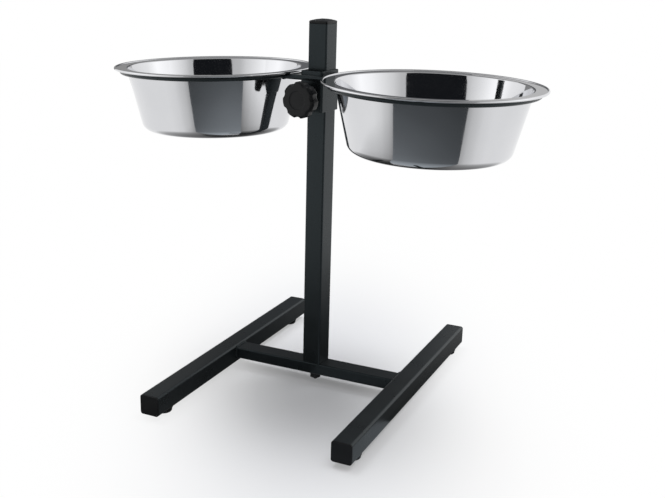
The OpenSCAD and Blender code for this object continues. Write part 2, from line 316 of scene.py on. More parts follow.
MATERIALS = {
    "painted_steel": powder_coat(),
    "black_plastic": moulded_plastic(),
    "polished_steel": polished_steel(),
    "black_steel": black_steel(),
    "zinc_steel": zinc_steel(),
    "brass_pad": turned_brass(),
}


# Shapes


def add_piece(name, body, slot, shape, place=None, node=None, sharp=40):
    """Adds a mesh that rides on a body, and stands for a node of the solids if one is named."""
    points, faces = shape
    mesh = bpy.data.meshes.new(name)
    mesh.from_pydata([tuple(point) for point in points], [], faces)
    made = bmesh.new()
    made.from_mesh(mesh)
    bmesh.ops.remove_doubles(made, verts=made.verts, dist=1e-6)
    bmesh.ops.recalc_face_normals(made, faces=made.faces)
    if place:
        bmesh.ops.transform(made, matrix=place, verts=made.verts)
    made.to_mesh(mesh)
    made.free()
    mesh.shade_smooth()
    mesh.set_sharp_from_angle(angle=math.radians(sharp))
    mesh.materials.append(MATERIALS[slot])
    piece = bpy.data.objects.new(name, mesh)
    bpy.context.scene.collection.objects.link(piece)
    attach(piece, body)
    if node:
        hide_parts(node)
    return piece


def weigh_normals(piece):
    """Keeps wide flat faces flat in the shading beside their round corners."""
    modifier = piece.modifiers.new("Flat faces", "WEIGHTED_NORMAL")
    modifier.weight = 100
    modifier.keep_sharp = True
    return piece


def arc(centre, radius, start, end, steps=12):
    """Points of an arc in a half section, between two angles in radians."""
    turns = [start + (end - start) * i / steps for i in range(steps + 1)]
    return [(centre[0] + radius * math.cos(t), centre[1] + radius * math.sin(t)) for t in turns]


def line(start, end, steps):
    """Points strictly between two points of a half section."""
    shares = [i / steps for i in range(1, steps)]
    return [(start[0] + (end[0] - start[0]) * s, start[1] + (end[1] - start[1]) * s) for s in shares]


def rounded_rect(width, depth, corner, steps=7):
    """Outline of a rectangle with round corners, anticlockwise."""
    outline = []
    for quarter, (x, y) in enumerate(((1, 1), (-1, 1), (-1, -1), (1, -1))):
        centre = (x * (width / 2 - corner), y * (depth / 2 - corner))
        start = quarter * math.pi / 2
        outline += arc(centre, corner, start, start + math.pi / 2, steps)
    return outline


def inset_rect(width, depth, corner, least_corner, inset, z):
    """Outline of a rectangle with round corners, drawn in by an inset, at a height."""
    flat = rounded_rect(width - 2 * inset, depth - 2 * inset, max(corner - inset, least_corner))
    return [(x, y, z) for x, y in flat]


def loft(rings, join_ends=False, cap_start=False, cap_end=False):
    """Skin over outlines with equal numbers of points."""
    count = len(rings[0])
    points = [point for ring in rings for point in ring]
    faces = []
    spans = len(rings) if join_ends else len(rings) - 1
    for i in range(spans):
        a = i * count
        b = (i + 1) % len(rings) * count
        for j in range(count):
            k = (j + 1) % count
            faces.append((a + j, a + k, b + k, b + j))
    if cap_start:
        faces.append(tuple(reversed(range(count))))
    if cap_end:
        faces.append(tuple(range(len(points) - count, len(points))))
    return points, faces


def lathe(profile, segments=96, closed=False, radius_at=None):
    """Turned shape round Z from a half section; radius_at can change a radius with the angle."""
    rings = []
    for radius, z in profile:
        ring = []
        for i in range(segments):
            angle = 2 * math.pi * i / segments
            reach = radius_at(radius, z, angle) if radius_at else radius
            ring.append((reach * math.cos(angle), reach * math.sin(angle), z))
        rings.append(ring)
    start = not closed and profile[0][0] > 0
    end = not closed and profile[-1][0] > 0
    return loft(rings, join_ends=closed, cap_start=start, cap_end=end)


def tube(width, depth, corner, wall, length, edge=CUT_EDGE):
    """Square tube along Z from the XY plane, with its cut ends slightly rounded."""
    half_round = 0.3 * edge

    def outline(inset, z):
        return inset_rect(width, depth, corner, INNER_CORNER, inset, z)

    skin = [
        outline(0, edge),
        outline(0, length - edge),
        outline(half_round, length - half_round),
        outline(edge, length),
        outline(wall, length),
        outline(wall, 0),
        outline(edge, 0),
        outline(half_round, half_round),
    ]
    return loft(skin, join_ends=True)


def thread(length, start_chamfer, end_chamfer):
    """Threaded rod along Z from the XY plane, as a spiral groove with chamfered ends."""
    count = max(2, round(length / THREAD_PITCH * THREAD_STEPS))
    profile = [(0, 0)]
    profile += [(THREAD_RADIUS, length * i / count) for i in range(count + 1)]
    profile.append((0, length))

    def radius_at(radius, z, angle):
        if radius == 0:
            return 0
        phase = (z / THREAD_PITCH - angle / (2 * math.pi)) % 1
        groove = THREAD_DEPTH * (1 - abs(2 * phase - 1)) ** GROOVE_POWER
        cone = THREAD_RADIUS
        if start_chamfer:
            cone = min(cone, THREAD_RADIUS - start_chamfer + z)
        if end_chamfer:
            cone = min(cone, THREAD_RADIUS - end_chamfer + length - z)
        return min(radius - groove, cone)

    return lathe(profile, segments=48, radius_at=radius_at)


def hex_nut(width, height, hole, segments=96, levels=6):
    """Hexagon nut on the XY plane, with its corners chamfered above and below."""
    face_radius = width * NUT_FACE_SHARE
    slope = math.tan(NUT_CHAMFER)
    angles = [2 * math.pi * i / segments for i in range(segments)]

    def circle(radius, z):
        return [(radius * math.cos(a), radius * math.sin(a), z) for a in angles]

    def flats(share):
        outline = []
        for angle in angles:
            sector = angle % (math.pi / 3) - math.pi / 6
            reach = width / 2 / math.cos(sector)
            drop = (reach - face_radius) * slope
            z = drop + (height - 2 * drop) * share
            outline.append((reach * math.cos(angle), reach * math.sin(angle), z))
        return outline

    rings = [circle(hole, 0), circle(face_radius, 0)]
    rings += [flats(i / levels) for i in range(levels + 1)]
    rings += [circle(face_radius, height), circle(hole, height)]
    return loft(rings, join_ends=True)


def weld(path, radius, closed=False):
    """Bead of weld along a path, with the ripples of its puddles and, unless it is closed, thin ends."""
    sides = 10
    end_share = 0.35
    end_growth = 8
    points = [Vector(point) for point in path]
    count = len(points)
    travelled = 0.0
    rings = []
    for i, point in enumerate(points):
        before = points[i - 1] if i or closed else point
        after = points[(i + 1) % count] if i + 1 < count or closed else point
        forward = (after - before).normalized()
        side = forward.orthogonal().normalized()
        up = forward.cross(side)
        if i:
            travelled += (point - points[i - 1]).length
        swell = 1 + WELD_RIPPLE * math.cos(2 * math.pi * travelled / WELD_PITCH)
        taper = 1.0
        if not closed:
            nearest = min(i, count - 1 - i) / max(1, count - 1)
            taper = min(1.0, end_share + nearest * end_growth)
        reach = radius * swell * taper
        turns = [2 * math.pi * k / sides for k in range(sides)]
        rings.append([point + reach * (side * math.cos(t) + up * math.sin(t)) for t in turns])
    return loft(rings, join_ends=closed, cap_start=not closed, cap_end=not closed)


def along_path(corners, step):
    """Points at even steps along straight runs between corners."""
    path = [Vector(corners[0])]
    for start, end in zip(corners, corners[1:]):
        start, end = Vector(start), Vector(end)
        count = max(1, round((end - start).length / step))
        path += [start.lerp(end, i / count) for i in range(1, count + 1)]
    return path


# Base


def rail(side):
    """Floor rail, from the box of its solid."""
    name = SIDE_NAME[side] + "_rail"
    low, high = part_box(name)
    size = high - low
    place = Matrix.Translation(((low.x + high.x) / 2, high.y, (low.z + high.z) / 2))
    place = place @ Matrix.Rotation(math.pi / 2, 4, "X")
    shape = tube(size.x, size.z, RAIL_CORNER, TUBE_WALL, size.y)
    weigh_normals(add_piece(name + "_tube", "base", "painted_steel", shape, place, name))


def cross_bar():
    """Flat tube between the rails, with a weld all round each end."""
    low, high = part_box("cross_bar")
    size = high - low
    middle = (low + high) / 2
    turn = Matrix.Rotation(math.pi / 2, 4, "Y")
    place = Matrix.Translation((low.x, middle.y, middle.z)) @ turn
    shape = tube(size.z, size.y, CROSS_CORNER, TUBE_WALL, size.x)
    weigh_normals(add_piece("cross_bar_tube", "base", "painted_steel", shape, place, "cross_bar"))
    for side, x in ((LEFT, low.x), (RIGHT, high.x)):
        outline = rounded_rect(size.y, size.z, CROSS_CORNER, steps=4)
        corners = [(x, middle.y + y, middle.z + z) for y, z in outline]
        path = along_path(corners + corners[:1], WELD_STEP)[:-1]
        name = SIDE_NAME[side] + "_cross_weld"
        add_piece(name, "base", "painted_steel", weld(path, CROSS_WELD, closed=True), sharp=180)


def rail_cap(side, end):
    """End cap: a flat plate with a rounded edge on the tube's end, and its plug inside."""
    name = f"{SIDE_NAME[side]}_{END_NAME[end]}_cap"
    low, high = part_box(SIDE_NAME[side] + "_rail")
    size = high.x - low.x
    tube_end = low.y if end == FRONT else high.y
    place = Matrix.Translation(((low.x + high.x) / 2, tube_end, (low.z + high.z) / 2))
    place = place @ Matrix.Rotation(-end * math.pi / 2, 4, "X")
    steps = 5

    def outline(inset, z):
        return inset_rect(size, size, RAIL_CORNER, CAP_CORNER, inset, z)

    rings = [outline(PLUG_INSET, -PLUG_LENGTH), outline(PLUG_INSET, 0), outline(CAP_GROOVE, 0)]
    rings += [outline(0, CAP_GROOVE), outline(0, CAP_EDGE - CAP_ROUND)]
    for step in range(1, steps + 1):
        angle = math.pi / 2 * step / steps
        inset = CAP_ROUND * (1 - math.cos(angle))
        rings.append(outline(inset, CAP_EDGE - CAP_ROUND * (1 - math.sin(angle))))
    rings.append(outline(size / 4, CAP_EDGE))
    shape = loft(rings, cap_start=True, cap_end=True)
    weigh_normals(add_piece(name + "_plug", "base", "black_plastic", shape, place, name))


def foot(side, end):
    """Round glide foot with a rounded sole, a flange under the rail and a stem inside it."""
    name = f"{SIDE_NAME[side]}_{END_NAME[end]}_foot"
    low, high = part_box(name)
    sole = FOOT_FLOOR - FOOT_ROUND
    flange = FOOT_TOP - FOOT_FLANGE
    profile = [(0, 0)]
    profile += line((0, 0), (sole, 0), 4)
    profile += arc((sole, FOOT_ROUND), FOOT_ROUND, -math.pi / 2, 0, 6)
    profile += [(flange, FOOT_HEIGHT - FOOT_NECK)]
    profile += arc((flange, FOOT_HEIGHT - FOOT_FLANGE), FOOT_FLANGE, -math.pi / 2, math.pi / 2, 8)
    profile += [(FOOT_STEM, FOOT_HEIGHT), (FOOT_STEM, high.z - STEM_CHAMFER)]
    profile += [(FOOT_STEM - STEM_CHAMFER, high.z), (0, high.z)]
    place = Matrix.Translation(((low.x + high.x) / 2, (low.y + high.y) / 2, low.z))
    add_piece(name + "_glide", "base", "black_plastic", lathe(profile, segments=64), place, name)


def stud_washer():
    """Washer under the cross bar, with its outer edges chamfered."""
    low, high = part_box("stud_washer")
    height = high.z - low.z
    rim = WASHER_RADIUS - WASHER_EDGE
    profile = [(WASHER_HOLE, 0), (rim, 0), (WASHER_RADIUS, WASHER_EDGE)]
    profile += [(WASHER_RADIUS, height - WASHER_EDGE), (rim, height), (WASHER_HOLE, height)]
    place = Matrix.Translation((0, 0, low.z))
    shape = lathe(profile, segments=72, closed=True)
    add_piece("stud_washer_disc", "base", "black_steel", shape, place, "stud_washer")


# Post


def post():
    """Square post, turned with the holder on its stud."""
    low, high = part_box("post")
    place = ON_POST @ Matrix.Translation((0, 0, low.z))
    shape = tube(POST_SIZE, POST_SIZE, POST_CORNER, TUBE_WALL, high.z - low.z)
    weigh_normals(add_piece("post_tube", "post", "painted_steel", shape, place, "post"))


def post_cap():
    """Domed cap: the dome is part of a large sphere, so the edge is lower at the corners."""
    post_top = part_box("post")[1].z
    reach = (POST_SIZE / 2 - POST_CORNER) * math.sqrt(2) + POST_CORNER
    radius = (reach ** 2 + POST_CAP_DOME ** 2) / (2 * POST_CAP_DOME)
    top = POST_CAP_EDGE + POST_CAP_DOME
    steps = 4

    def outline(inset, z):
        return inset_rect(POST_SIZE, POST_SIZE, POST_CORNER, CAP_CORNER, inset, z)

    def dome(x, y):
        return top - radius + math.sqrt(radius ** 2 - x * x - y * y)

    def domed(share, sink):
        flat = rounded_rect(POST_SIZE, POST_SIZE, POST_CORNER)
        return [(x * share, y * share, dome(x * share, y * share) - sink) for x, y in flat]

    rings = [outline(PLUG_INSET, -PLUG_LENGTH), outline(PLUG_INSET, 0)]
    rings += [outline(POST_CAP_GROOVE, 0), outline(0, POST_CAP_GROOVE)]
    for step in range(steps + 1):
        angle = math.pi / 2 * step / steps
        share = 1 - POST_CAP_LIP * (1 - math.cos(angle)) / (POST_SIZE / 2)
        rings.append(domed(share, POST_CAP_LIP * (1 - math.sin(angle))))
    rings += [domed(share, 0) for share in DOME_SHARES]
    place = ON_POST @ Matrix.Translation((0, 0, post_top))
    shape = loft(rings, cap_start=True, cap_end=True)
    add_piece("post_cap_dome", "post", "black_plastic", shape, place, "post_cap", sharp=50)


def stud_and_nut():
    """Threaded stud with a narrower plain end, and the nut on its thread."""
    low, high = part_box("post_stud")
    nut_low, nut_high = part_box("stud_nut")
    at_nut = ON_POST @ Matrix.Translation((0, 0, nut_low.z))
    shape = thread(high.z - nut_low.z, THREAD_END, THREAD_END)
    add_piece("post_stud_thread", "post", "black_steel", shape, at_nut, "post_stud", sharp=50)
    inside = nut_low.z - low.z + THREAD_END
    profile = [(0, 0), (STUD_TIP - STUD_TIP_EDGE, 0), (STUD_TIP, STUD_TIP_EDGE)]
    profile += [(STUD_TIP, inside), (0, inside)]
    at_tip = ON_POST @ Matrix.Translation((0, 0, low.z))
    add_piece("post_stud_tip", "post", "black_steel", lathe(profile, segments=48), at_tip, "post_stud")
    shape = hex_nut(NUT_WIDTH, nut_high.z - nut_low.z, THREAD_RADIUS + THREAD_PLAY)
    add_piece("stud_nut_hexagon", "post", "black_steel", shape, at_nut, "stud_nut", sharp=25)


# Sliding holder


def sleeve():
    """Sleeve round the post, with the hole for the clamp screw in its front."""
    low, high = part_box("sleeve")
    place = ON_POST @ Matrix.Translation((0, SLEEVE_DEPTH / 2 - SLEEVE_FRONT, low.z))
    shape = tube(SLEEVE_WIDTH, SLEEVE_DEPTH, SLEEVE_CORNER, SLEEVE_WALL, high.z - low.z, SLEEVE_EDGE)
    piece = add_piece("sleeve_tube", "holder", "painted_steel", shape, place, "sleeve")
    reach = 3 * SLEEVE_WALL
    rod = lathe([(0, 0), (SCREW_HOLE, 0), (SCREW_HOLE, reach), (0, reach)], segments=48)
    behind = on_screw(SLEEVE_FRONT - 2 * SLEEVE_WALL)
    drill = add_piece("drill", "holder", "painted_steel", rod, behind)
    cut = piece.modifiers.new("Screw hole", "BOOLEAN")
    cut.object = drill
    cut.solver = "EXACT"
    bpy.context.view_layer.update()
    evaluated = piece.evaluated_get(bpy.context.evaluated_depsgraph_get())
    drilled = bpy.data.meshes.new_from_object(evaluated)
    piece.modifiers.remove(cut)
    piece.data = drilled
    bpy.data.objects.remove(drill)
    weigh_normals(piece)


def clamp_nut():
    """Nut behind the sleeve's front wall, for the knob's screw."""
    place = on_screw(SLEEVE_FRONT - SLEEVE_WALL - CLAMP_NUT_HEIGHT)
    shape = hex_nut(NUT_WIDTH, CLAMP_NUT_HEIGHT, THREAD_RADIUS + THREAD_PLAY)
    add_piece("clamp_nut_hexagon", "holder", "zinc_steel", shape, place, "clamp_nut", sharp=25)


def ring(side):
    """Closed wire ring that carries a bowl."""
    name = SIDE_NAME[side] + "_ring"
    section = arc((RING_RADIUS, 0), WIRE_RADIUS, 0, 2 * math.pi, 24)[:-1]
    shape = lathe(section, segments=240, closed=True)
    add_piece(name + "_wire", "holder", "painted_steel", shape, on_ring(side), name)


def bar_end(y):
    """Distance from the middle at which a bar meets the wires of the rings."""
    return RING_REACH - math.sqrt(RING_RADIUS ** 2 - (y + RING_FORWARD) ** 2)


def bar(name, y):
    """Straight wire across the sleeve, welded to it and to the rings."""
    low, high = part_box(name)
    z = (low.z + high.z) / 2
    half = bar_end(y) - WIRE_RADIUS / 2
    soft = BAR_END_ROUND
    profile = [(0, 0), (WIRE_RADIUS - soft, 0)]
    profile += arc((WIRE_RADIUS - soft, soft), soft, -math.pi / 2, 0, 4)
    profile += line((WIRE_RADIUS, soft), (WIRE_RADIUS, 2 * half - soft), 12)
    profile += arc((WIRE_RADIUS - soft, 2 * half - soft), soft, 0, math.pi / 2, 4)
    profile += [(0, 2 * half)]
    place = ON_POST @ Matrix.Translation((-half, y, z)) @ Matrix.Rotation(math.pi / 2, 4, "Y")
    add_piece(name + "_wire", "holder", "painted_steel", lathe(profile, segments=32), place, name)
    toward_sleeve = 1 if y < 0 else -1
    seam_y = y + toward_sleeve * SLEEVE_WELD_OUT
    reach = SLEEVE_WIDTH / 2 - SLEEVE_CORNER
    for level, above in (("upper", 1), ("lower", -1)):
        seam_z = z + above * SLEEVE_WELD_OUT
        path = along_path([(-reach, seam_y, seam_z), (reach, seam_y, seam_z)], WELD_STEP)
        bead = weld(path, SLEEVE_WELD)
        add_piece(f"{name}_{level}_weld", "holder", "painted_steel", bead, ON_POST, sharp=180)
    below = z - RING_WELD_DROP
    for side in (LEFT, RIGHT):
        x = side * bar_end(y)
        path = along_path([(x, y - WIRE_RADIUS, below), (x, y + WIRE_RADIUS, below)], WELD_STEP)
        bead = weld(path, RING_WELD)
        add_piece(f"{SIDE_NAME[side]}_{name}_weld", "holder", "painted_steel", bead, ON_POST, sharp=180)


# Clamp


def clamp_screw():
    """Threaded screw from the pad into the knob's head."""
    length = HUB_FACE + HUB_LENGTH + SCREW_IN_HEAD - SCREW_SHOULDER
    shape = thread(length, THREAD_END, 0)
    place = on_screw(SCREW_SHOULDER)
    add_piece("clamp_screw_thread", "knob", "zinc_steel", shape, place, "clamp_screw", sharp=50)


def star_knob():
    """Knob with a lobed, rounded head and a plain hub behind it."""
    cut_centre = HEAD_RADIUS + CUT_RADIUS - CUT_DEPTH
    sector = 2 * math.pi / LOBES
    head_top = HUB_LENGTH + HEAD_HEIGHT
    inner = HEAD_RADIUS - HEAD_ROUND
    fillet = HUB_RADIUS + HUB_FILLET
    dish_edge = (DISH_RADIUS - 2 * DISH_DEPTH, head_top - 1.2 * DISH_DEPTH)
    dish_middle = (0, head_top - 0.8 * DISH_DEPTH)

    def scallop(angle):
        """How far the cuts between the lobes lie inside the head's circle."""
        offset = (angle - LOBE_TURN) % sector - sector / 2
        inside = CUT_RADIUS ** 2 - (cut_centre * math.sin(offset)) ** 2
        if inside <= 0:
            return 0.0
        reach = cut_centre * math.cos(offset) - math.sqrt(inside)
        depth = max(0.0, HEAD_RADIUS - reach)
        return depth * depth / (depth + CUT_BLEND)

    profile = [(HUB_RADIUS - HUB_EDGE, 0), (HUB_RADIUS, HUB_EDGE), (HUB_RADIUS, HUB_LENGTH - HUB_FILLET)]
    profile += arc((fillet, HUB_LENGTH - HUB_FILLET), HUB_FILLET, math.pi, math.pi / 2, 4)
    profile += line((fillet, HUB_LENGTH), (inner, HUB_LENGTH), 3)
    profile += arc((inner, HUB_LENGTH + HEAD_ROUND), HEAD_ROUND, -math.pi / 2, 0, 10)
    profile += line((HEAD_RADIUS, HUB_LENGTH + HEAD_ROUND), (HEAD_RADIUS, head_top - HEAD_ROUND), 4)
    profile += arc((inner, head_top - HEAD_ROUND), HEAD_ROUND, 0, math.pi / 2, 12)
    profile += line((inner, head_top), (DISH_RADIUS, head_top), 4)
    profile += arc((DISH_RADIUS, head_top - DISH_DEPTH), DISH_DEPTH, math.pi / 2, math.pi, 4)
    profile += [dish_edge]
    profile += line(dish_edge, dish_middle, 4)
    profile += [dish_middle]

    def radius_at(radius, z, angle):
        share = min(1.0, max(0.0, (radius - DISH_RADIUS) / (HEAD_RADIUS - DISH_RADIUS)))
        if z < HUB_LENGTH:
            share = 0.0
        return radius - scallop(angle) * share

    shape = lathe(profile, segments=LOBES * 32, radius_at=radius_at)
    add_piece("star_knob_grip", "knob", "black_plastic", shape, on_screw(HUB_FACE), "star_knob", sharp=60)


# Bowls


def bowl_profile():
    """Half section of the sheet: up its inside, round the rolled edge, and down its outside."""
    bottom = RIM_TOP - BOWL_DEPTH
    reach = MOUTH_BEND - SHEET + BASE_BEND
    wall = (BOWL_DEPTH - MOUTH_BEND - BASE_BEND + reach * math.sin(WALL_SLOPE)) / math.cos(WALL_SLOPE)
    mouth = (MOUTH_RADIUS, RIM_TOP - MOUTH_BEND)
    base_x = mouth[0] - reach * math.cos(WALL_SLOPE) - wall * math.sin(WALL_SLOPE)
    base_y = mouth[1] + reach * math.sin(WALL_SLOPE) - wall * math.cos(WALL_SLOPE)
    base = (base_x, base_y)
    bead = (MOUTH_RADIUS + RIM_WIDTH, RIM_TOP - SHEET / 2)
    neck = math.asin(SHEET / (2 * BEAD_RADIUS))
    inner_base = arc(base, BASE_BEND - SHEET, -math.pi / 2, -WALL_SLOPE, 24)
    inner_mouth = arc(mouth, MOUTH_BEND, math.pi - WALL_SLOPE, math.pi / 2, 20)
    edge = arc(bead, BEAD_RADIUS, math.pi - neck, neck - math.pi, 40)
    outer_mouth = arc(mouth, MOUTH_BEND - SHEET, math.pi / 2, math.pi - WALL_SLOPE, 20)
    outer_base = arc(base, BASE_BEND, -WALL_SLOPE, -math.pi / 2, 24)
    runs = [[(0, bottom + SHEET)], inner_base, inner_mouth, edge, outer_mouth, outer_base, [(0, bottom)]]
    profile = []
    for run, following in zip(runs, runs[1:] + [[]]):
        profile += run
        if following:
            profile += line(run[-1], following[0], 10)
    return profile


def bowl(side):
    """Pressed bowl, loose in its ring."""
    name = SIDE_NAME[side] + "_bowl"
    shape = lathe(bowl_profile(), segments=288)
    add_piece(name + "_sheet", name, "polished_steel", shape, on_ring(side), name, sharp=60)


for side in (LEFT, RIGHT):
    rail(side)
    for end in (FRONT, BACK):
        rail_cap(side, end)
        foot(side, end)
    ring(side)
    bowl(side)
cross_bar()
stud_washer()
post()
post_cap()
stud_and_nut()
sleeve()
clamp_nut()
bar("front_bar", FRONT_BAR_Y)
bar("back_bar", BACK_BAR_Y)
clamp_screw()
star_knob()

# Solids that stay, with a material of their own
for node, slot in (("post_foot_plug", "zinc_steel"), ("clamp_pad", "brass_pad")):
    solid = frame["nodes"][node]
    solid.data.materials.clear()
    solid.data.materials.append(MATERIALS[slot])


# Camera
CAMERA_PLACE = Vector((493.28, -1079.73, 532.21)) * MM
CAMERA_YAW = math.radians(26.61)
CAMERA_PITCH = math.radians(17.38)
CAMERA_ROLL = math.radians(0.67)
IMAGE_WIDTH = 665
FOCAL_PIXELS = 986.42
CENTRE_RIGHT_PIXELS = 48.47
CENTRE_UP_PIXELS = 12.67
SENSOR_WIDTH = 36.0

# Floor and its soft shadow: real shadow from the lamps, kept inside an ellipse, under a painted white glow
# that grows to full white farther out
FLOOR_REACH = 6.0
FLOOR_COLOUR = (0.735, 0.748, 0.785, 1)
SHADOW_MIDDLE = (0.019, -0.019, 0)
SHADOW_TURN = math.radians(22.1)
SHADOW_LENGTH = 0.386
SHADOW_WIDTH = 0.161
SHADOW_DEPTH = 0.84
SHADOW_FALL = 2.5
SHADOW_STEP = SHADOW_LENGTH / 4
SHADOW_STOPS = 10

# Studio: its angles are degrees seen from above, from the front towards the right
FACING = 23.8
AMBIENT = 0.28

# Brightness by the share that a direction points to the studio's front, from 0 behind to 1 in front
BRIGHTEST = 1.45
SIDE_LEVELS = [
    (0, 0.95), (0.30, 1.16), (0.45, 1.45), (0.60, 1.33),
    (0.75, 1.05), (0.82, 0.90), (0.88, 0.68), (1, 0.6),
]
# FLOOR_LEVELS dims the painted floor shade card below towards the front, to half at the edge of the dark
# front sector
FLOOR_LEVELS = [(0.67, 1.0), (0.72, 0.96), (0.77, 0.91), (0.81, 0.80), (0.85, 0.70), (0.885, 0.50)]

# Brightness by the distance from the middle, and the tint of the shade
SHADED_FLOOR = [
    (0.15, 0.46), (0.45, 0.25), (0.58, 0.135), (0.66, 0.092),
    (0.76, 0.062), (1.0, 0.042), (2.2, 0.025),
]
# Painted shade of the floor near the stand, on a card that only gloss mirrors: nearly black beside the stand,
# full white from 0.62 m out
NEAR_FLOOR_PAINTED_SHADE = [(0.05, 0.03), (0.14, 0.06), (0.22, 0.16), (0.32, 0.27), (0.45, 0.47), (0.62, 1.0), (2.2, 1.0)]
CEILING = [(0.4, 0.34), (1.5, 0.38), (3.2, 1.0)]
SHADE_TINT = (0.92, 1.0, 1.07)

# Rows of a card: distance, height and half its angle
BLACK = (0.009, 0.010, 0.012)
DARK_HALF = 39.5
BLACK_ROWS = [(0.60, 0.44, DARK_HALF), (0.60, 0.58, DARK_HALF), (0.60, 0.66, 36), (0.60, 0.86, 30)]
SHADED_ROWS = [(0.12, 0.001, DARK_HALF), (2.2, 0.001, DARK_HALF)]
NEAR_FLOOR_SHADE_ROWS = [(0.03, 0.0012, 180 - DARK_HALF), (2.2, 0.0012, 180 - DARK_HALF)]
SIDE_ROWS = [(1.15, 0.02, 80), (1.15, 1.1, 80)]
CEILING_ROWS = [(0.02, 2.3, 180), (3.2, 2.3, 180)]

# Cards behind the stand: name, middle, half the angle and colour
FAR_DISTANCE = 2.6
FAR_LOW = 0.01
FAR_HIGH = 2.3
FAR_CARDS = [
    ("far_card", 203, 11, (0.13, 0.133, 0.14)),
    ("far_left_card", 227, 13, grey(0.30)),
    ("far_right_card", 188, 4, grey(0.55)),
]

# Lights: name, place, side and power
LIGHT_TARGET = Vector((0, 0, 0.2))
LIGHTS = [
    ("overhead", (0, -0.4, 2.4), 1.4, 6),
    ("right_side", (0.7, 0.3, 2.2), 0.9, 19),
    ("left_side", (-0.7, 0.3, 2.2), 0.9, 19),
]


def front_level(tree, direction, levels, brightest):
    """Brightness by how far a direction points to the front."""
    facing = tree.nodes.new("ShaderNodeVectorMath")
    facing.operation = "DOT_PRODUCT"
    angle = math.radians(FACING)
    facing.inputs[1].default_value = (math.sin(angle), -math.cos(angle), 0)
    tree.links.new(direction, facing.inputs[0])
    share = tree.nodes.new("ShaderNodeMapRange")
    share.inputs["From Min"].default_value = -1.0
    tree.links.new(facing.outputs["Value"], share.inputs["Value"])
    stops = [(position, grey(level / brightest)) for position, level in levels]
    dimmed = ramp(tree, share.outputs["Result"], stops)
    strength = tree.nodes.new("ShaderNodeMapRange")
    strength.inputs["To Max"].default_value = brightest
    tree.links.new(dimmed, strength.inputs["Value"])
    return strength.outputs["Result"]


def flattened(tree, scale):
    """Place on the stage seen from above."""
    place = tree.nodes.new("ShaderNodeTexCoord")
    flat = tree.nodes.new("ShaderNodeVectorMath")
    flat.operation = "MULTIPLY"
    flat.inputs[1].default_value = (scale, scale, 0)
    tree.links.new(place.outputs["Object"], flat.inputs[0])
    return flat.outputs["Vector"]


def radial_ramp(tree, stops):
    """Colour by the distance from the middle of the floor, from pairs of metres and colours."""
    reach = stops[-1][0]
    distance = tree.nodes.new("ShaderNodeVectorMath")
    distance.operation = "LENGTH"
    tree.links.new(flattened(tree, 1 / reach), distance.inputs[0])
    return ramp(tree, distance.outputs["Value"], [(radius / reach, colour) for radius, colour in stops])


def card_material(name, colour=grey(1), stops=None, levels=None, brightest=1.0):
    """Card of a studio with its own brightness, even or by the distance and the side it is on."""
    material = bpy.data.materials.new(name)
    material.use_nodes = True
    tree = material.node_tree
    tree.nodes.clear()
    glow = tree.nodes.new("ShaderNodeEmission")
    glow.inputs["Color"].default_value = (*colour, 1)
    glow.inputs["Strength"].default_value = 1.0
    if stops:
        tree.links.new(radial_ramp(tree, stops), glow.inputs["Color"])
    if levels:
        direction = tree.nodes.new("ShaderNodeVectorMath")
        direction.operation = "NORMALIZE"
        tree.links.new(flattened(tree, 1), direction.inputs[0])
        strength = front_level(tree, direction.outputs["Vector"], levels, brightest)
        tree.links.new(strength, glow.inputs["Strength"])
    out = tree.nodes.new("ShaderNodeOutputMaterial")
    tree.links.new(glow.outputs["Emission"], out.inputs["Surface"])
    return material


def floor_material():
    """Pale floor that keeps most of its real shadow near the middle: a painted white glow lightens it there
    and turns it into the white of the background farther out.
    """
    material, tree, shader = new_material("floor")
    shader.inputs["Base Color"].default_value = FLOOR_COLOUR
    shader.inputs["Roughness"].default_value = 0.9
    shader.inputs["Specular IOR Level"].default_value = 0.0
    # Painted white glow mixed over the lit floor: 16 percent of it at the middle, all of it far out
    painted_white_glow = tree.nodes.new("ShaderNodeEmission")
    painted_white_glow.inputs["Strength"].default_value = 1.0
    white = []
    for i in range(SHADOW_STOPS):
        radius = SHADOW_STEP * i
        shadow = SHADOW_DEPTH * math.exp(-(radius / SHADOW_LENGTH) ** SHADOW_FALL)
        white.append((radius, grey(1 - shadow)))
    white.append((FLOOR_REACH, grey(1)))
    blend = tree.nodes.new("ShaderNodeMixShader")
    tree.links.new(radial_ramp(tree, white), blend.inputs["Fac"])
    tree.links.new(shader.outputs["BSDF"], blend.inputs[1])
    tree.links.new(painted_white_glow.outputs["Emission"], blend.inputs[2])
    out = tree.nodes["Material Output"]
    tree.links.new(blend.outputs["Shader"], out.inputs["Surface"])
    return material


def add_stage(name, points, faces, material):
    """Adds a mesh that isn't part of the object."""
    mesh = bpy.data.meshes.new(name)
    mesh.from_pydata(points, [], faces)
    mesh.materials.append(material)
    thing = bpy.data.objects.new(name, mesh)
    bpy.context.scene.collection.objects.link(thing)
    return thing


def card(name, rows, middle, material, steps=24):
    """Studio card that only metal and gloss mirror: a painted reflection, unseen by the camera, by diffuse
    light and by shadows.
    """
    points = []
    for radius, z, half in rows:
        for i in range(steps + 1):
            direction = math.radians(middle + half * (2 * i / steps - 1))
            points.append((radius * math.sin(direction), -radius * math.cos(direction), z))
    faces = []
    for row in range(len(rows) - 1):
        a, b = row * (steps + 1), (row + 1) * (steps + 1)
        faces += [(a + i, a + i + 1, b + i + 1, b + i) for i in range(steps)]
    thing = add_stage(name, points, faces, material)
    thing.visible_camera = False
    thing.visible_diffuse = False
    thing.visible_shadow = False
    thing.visible_transmission = False
    thing.visible_volume_scatter = False


